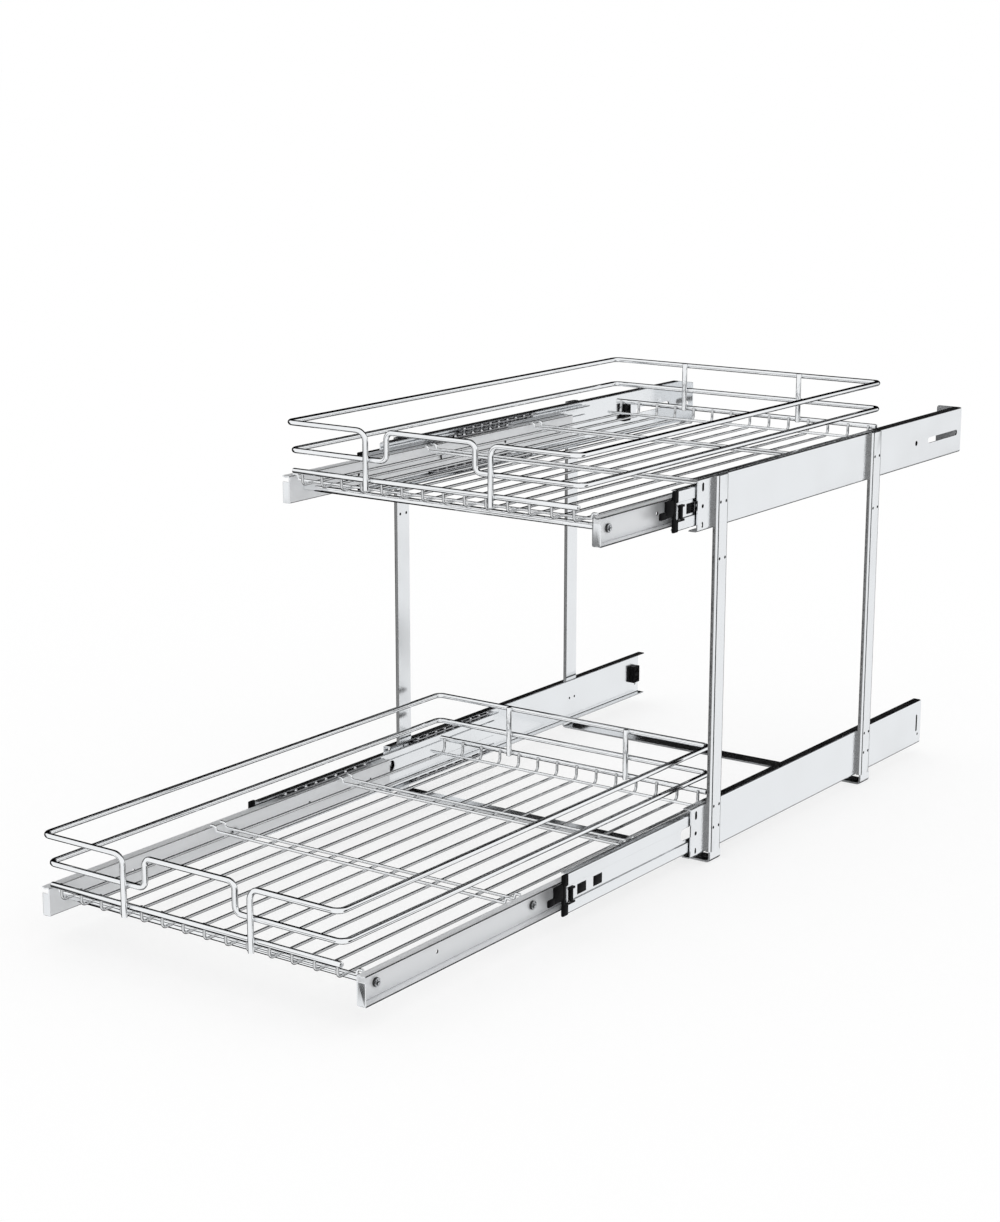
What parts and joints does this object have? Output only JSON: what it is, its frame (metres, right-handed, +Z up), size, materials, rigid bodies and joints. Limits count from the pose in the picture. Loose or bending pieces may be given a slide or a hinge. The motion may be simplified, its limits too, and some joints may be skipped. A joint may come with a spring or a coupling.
{
  "type": "pull out cabinet basket",
  "caption": "Pull out cabinet organiser: tiered chrome wire baskets on full-extension ball-bearing slides, carried by strap hoops that screw to the cabinet floor.",
  "frame": {"origin": "on the cabinet floor, in the middle of the rectangle of the four floor screws", "axes": "+Z up from the cabinet floor, -Y the way the baskets pull out, +X to the right seen from the front; the lower basket is stored fully out and the upper one partly out"},
  "size_m": [0.3572, 0.9899, 0.3942],
  "materials": {
    "chrome_wire": "bright polished chrome on steel wire",
    "zinc_steel": "bright zinc-plated sheet steel, smooth",
    "fastener_steel": "zinc-plated rivets and screws",
    "cage_steel": "dull greased cage strip",
    "ball_steel": "polished bearing balls",
    "black_plastic": "semi-gloss moulded plastic"
  },
  "bodies": {
    "frame": {"housing_lower_left": "zinc_steel", "housing_lower_right": "zinc_steel", "housing_upper_left": "zinc_steel", "housing_upper_right": "zinc_steel", "hoop_front": "zinc_steel", "hoop_rear": "zinc_steel", "post_rivets": "fastener_steel", "rear_buffers": "black_plastic"},
    "lower_basket": {"lower_top_rim": "chrome_wire", "lower_mid_rim": "chrome_wire", "lower_end_bars": "chrome_wire", "lower_rear_uprights": "chrome_wire", "lower_floor_wires": "chrome_wire", "lower_cross_wires": "chrome_wire", "lower_rail_left": "zinc_steel", "lower_rail_right": "zinc_steel", "lower_tie_rod": "chrome_wire", "lower_rail_screws": "fastener_steel"},
    "lower_middle_left": {"lower_middle_left": "zinc_steel", "lower_bumper_left": "black_plastic"},
    "lower_outer_cage_left": {"lower_outer_cage_left": "cage_steel", "lower_outer_balls_left": "ball_steel"},
    "lower_inner_cage_left": {"lower_inner_cage_left": "cage_steel", "lower_inner_balls_left": "ball_steel"},
    "lower_middle_right": {"lower_middle_right": "zinc_steel", "lower_bumper_right": "black_plastic"},
    "lower_outer_cage_right": {"lower_outer_cage_right": "cage_steel", "lower_outer_balls_right": "ball_steel"},
    "lower_inner_cage_right": {"lower_inner_cage_right": "cage_steel", "lower_inner_balls_right": "ball_steel"},
    "upper_basket": {"upper_top_rim": "chrome_wire", "upper_mid_rim": "chrome_wire", "upper_end_bars": "chrome_wire", "upper_rear_uprights": "chrome_wire", "upper_floor_wires": "chrome_wire", "upper_cross_wires": "chrome_wire", "upper_rail_left": "zinc_steel", "upper_rail_right": "zinc_steel", "upper_tie_rod": "chrome_wire", "upper_rail_screws": "fastener_steel"},
    "upper_middle_left": {"upper_middle_left": "zinc_steel", "upper_bumper_left": "black_plastic"},
    "upper_outer_cage_left": {"upper_outer_cage_left": "cage_steel", "upper_outer_balls_left": "ball_steel"},
    "upper_inner_cage_left": {"upper_inner_cage_left": "cage_steel", "upper_inner_balls_left": "ball_steel"},
    "upper_middle_right": {"upper_middle_right": "zinc_steel", "upper_bumper_right": "black_plastic"},
    "upper_outer_cage_right": {"upper_outer_cage_right": "cage_steel", "upper_outer_balls_right": "ball_steel"},
    "upper_inner_cage_right": {"upper_inner_cage_right": "cage_steel", "upper_inner_balls_right": "ball_steel"}
  },
  "joints": [
    {"name": "lower_pull", "type": "slide", "parent": "frame", "child": "lower_basket", "axis": [0, -1, 0], "range_m": [-0.4534, 0]},
    {"name": "lower_middle_left_run", "type": "slide", "parent": "frame", "child": "lower_middle_left", "axis": [0, -1, 0], "range_m": [-0.2267, 0]},
    {"name": "lower_outer_cage_left_run", "type": "slide", "parent": "frame", "child": "lower_outer_cage_left", "axis": [0, -1, 0], "range_m": [-0.11335, 0]},
    {"name": "lower_inner_cage_left_run", "type": "slide", "parent": "frame", "child": "lower_inner_cage_left", "axis": [0, -1, 0], "range_m": [-0.34005, 0]},
    {"name": "lower_middle_right_run", "type": "slide", "parent": "frame", "child": "lower_middle_right", "axis": [0, -1, 0], "range_m": [-0.2267, 0]},
    {"name": "lower_outer_cage_right_run", "type": "slide", "parent": "frame", "child": "lower_outer_cage_right", "axis": [0, -1, 0], "range_m": [-0.11335, 0]},
    {"name": "lower_inner_cage_right_run", "type": "slide", "parent": "frame", "child": "lower_inner_cage_right", "axis": [0, -1, 0], "range_m": [-0.34005, 0]},
    {"name": "upper_pull", "type": "slide", "parent": "frame", "child": "upper_basket", "axis": [0, -1, 0], "range_m": [-0.1422, 0.3112]},
    {"name": "upper_middle_left_run", "type": "slide", "parent": "frame", "child": "upper_middle_left", "axis": [0, -1, 0], "range_m": [-0.0711, 0.1556]},
    {"name": "upper_outer_cage_left_run", "type": "slide", "parent": "frame", "child": "upper_outer_cage_left", "axis": [0, -1, 0], "range_m": [-0.03555, 0.0778]},
    {"name": "upper_inner_cage_left_run", "type": "slide", "parent": "frame", "child": "upper_inner_cage_left", "axis": [0, -1, 0], "range_m": [-0.10665, 0.2334]},
    {"name": "upper_middle_right_run", "type": "slide", "parent": "frame", "child": "upper_middle_right", "axis": [0, -1, 0], "range_m": [-0.0711, 0.1556]},
    {"name": "upper_outer_cage_right_run", "type": "slide", "parent": "frame", "child": "upper_outer_cage_right", "axis": [0, -1, 0], "range_m": [-0.03555, 0.0778]},
    {"name": "upper_inner_cage_right_run", "type": "slide", "parent": "frame", "child": "upper_inner_cage_right", "axis": [0, -1, 0], "range_m": [-0.10665, 0.2334]}
  ],
  "couplings": [
    {"joint": "lower_middle_left_run", "follows": "lower_pull", "ratio": 0.5},
    {"joint": "lower_outer_cage_left_run", "follows": "lower_pull", "ratio": 0.25},
    {"joint": "lower_inner_cage_left_run", "follows": "lower_pull", "ratio": 0.75},
    {"joint": "lower_middle_right_run", "follows": "lower_pull", "ratio": 0.5},
    {"joint": "lower_outer_cage_right_run", "follows": "lower_pull", "ratio": 0.25},
    {"joint": "lower_inner_cage_right_run", "follows": "lower_pull", "ratio": 0.75},
    {"joint": "upper_middle_left_run", "follows": "upper_pull", "ratio": 0.5},
    {"joint": "upper_outer_cage_left_run", "follows": "upper_pull", "ratio": 0.25},
    {"joint": "upper_inner_cage_left_run", "follows": "upper_pull", "ratio": 0.75},
    {"joint": "upper_middle_right_run", "follows": "upper_pull", "ratio": 0.5},
    {"joint": "upper_outer_cage_right_run", "follows": "upper_pull", "ratio": 0.25},
    {"joint": "upper_inner_cage_right_run", "follows": "upper_pull", "ratio": 0.75}
  ]
}
